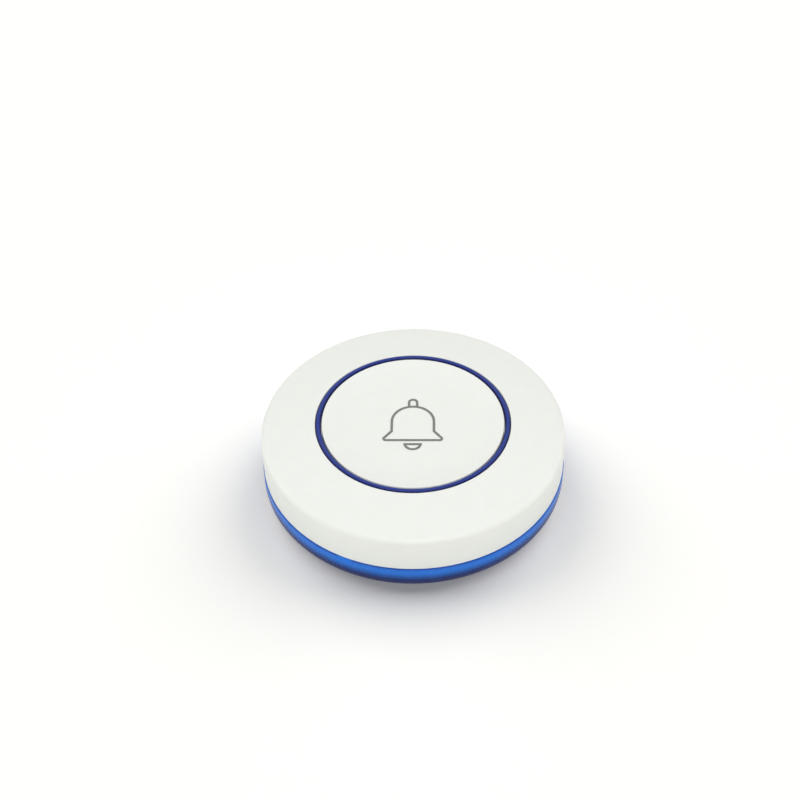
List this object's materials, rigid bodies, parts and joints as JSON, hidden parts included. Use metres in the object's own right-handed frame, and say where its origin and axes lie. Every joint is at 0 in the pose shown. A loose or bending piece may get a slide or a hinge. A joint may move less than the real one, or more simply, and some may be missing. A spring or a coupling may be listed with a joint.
{
  "type": "wireless doorbell button",
  "caption": "Round stick-on wireless doorbell button: white cover and press cap with a navy trim ring and bell symbol on a blue base.",
  "frame": {"origin": "middle of the face that meets the wall or the counter", "axes": "+Z away from that face, +Y towards the top of the bell symbol"},
  "size_m": [0.06, 0.06, 0.016],
  "materials": {
    "blue_base": "smooth glossy blue",
    "white_shell": "fine satin moulded white",
    "navy_trim": "glossy navy bead",
    "white_cap": "fine satin moulded white",
    "grey_ink": "flat printed ink",
    "clear_silicone": "milky silicone",
    "dark_rubber": "soft dark rubber",
    "white_foam": "closed-cell foam with adhesive faces",
    "green_laminate": "green solder mask on glass laminate",
    "zinc_steel": "zinc plated",
    "copper_track": "bare copper",
    "black_plastic": "moulded black",
    "tinned_metal": "tinned",
    "spring_steel": "stamped stainless steel",
    "cell_steel": "nickel plated steel",
    "plated_brass": "stamped sheet",
    "black_ceramic": "glazed ceramic chip",
    "tan_ceramic": "bare ceramic chip"
  },
  "bodies": {
    "housing": {"base_shell": "blue_base", "top_cover": "white_shell", "trim_ring": "navy_trim", "button_seal": "clear_silicone", "case_gasket": "dark_rubber", "adhesive_pad": "white_foam", "circuit_board": "green_laminate", "board_screws": "zinc_steel", "antenna_loop": "copper_track", "switch_base": "black_plastic", "switch_terminals": "tinned_metal", "switch_dome": "spring_steel", "switch_cover": "spring_steel", "coin_cell": "cell_steel", "battery_clip": "plated_brass", "negative_contact": "plated_brass", "encoder_chip": "black_plastic", "chip_leads": "tinned_metal", "crystal_can": "cell_steel", "rf_transistor": "black_plastic", "transistor_leads": "tinned_metal", "chip_resistors": "black_ceramic", "chip_capacitors": "tan_ceramic"},
    "button": {"button_cap": "white_cap", "bell_mark": "grey_ink"},
    "switch_actuator": {"switch_plunger": "black_plastic"}
  },
  "joints": [
    {"name": "button_press", "type": "slide", "parent": "housing", "child": "button", "axis": [0, 0, -1], "range_m": [0, 0.0005], "stiffness_N_per_m": 2000, "springref_m": -0.0004, "deforming": ["button_seal"]},
    {"name": "switch_stroke", "type": "slide", "parent": "housing", "child": "switch_actuator", "axis": [0, 0, -1], "range_m": [0, 0.0005], "deforming": ["switch_dome"]}
  ],
  "couplings": [
    {"joint": "switch_stroke", "follows": "button_press", "ratio": 1}
  ]
}
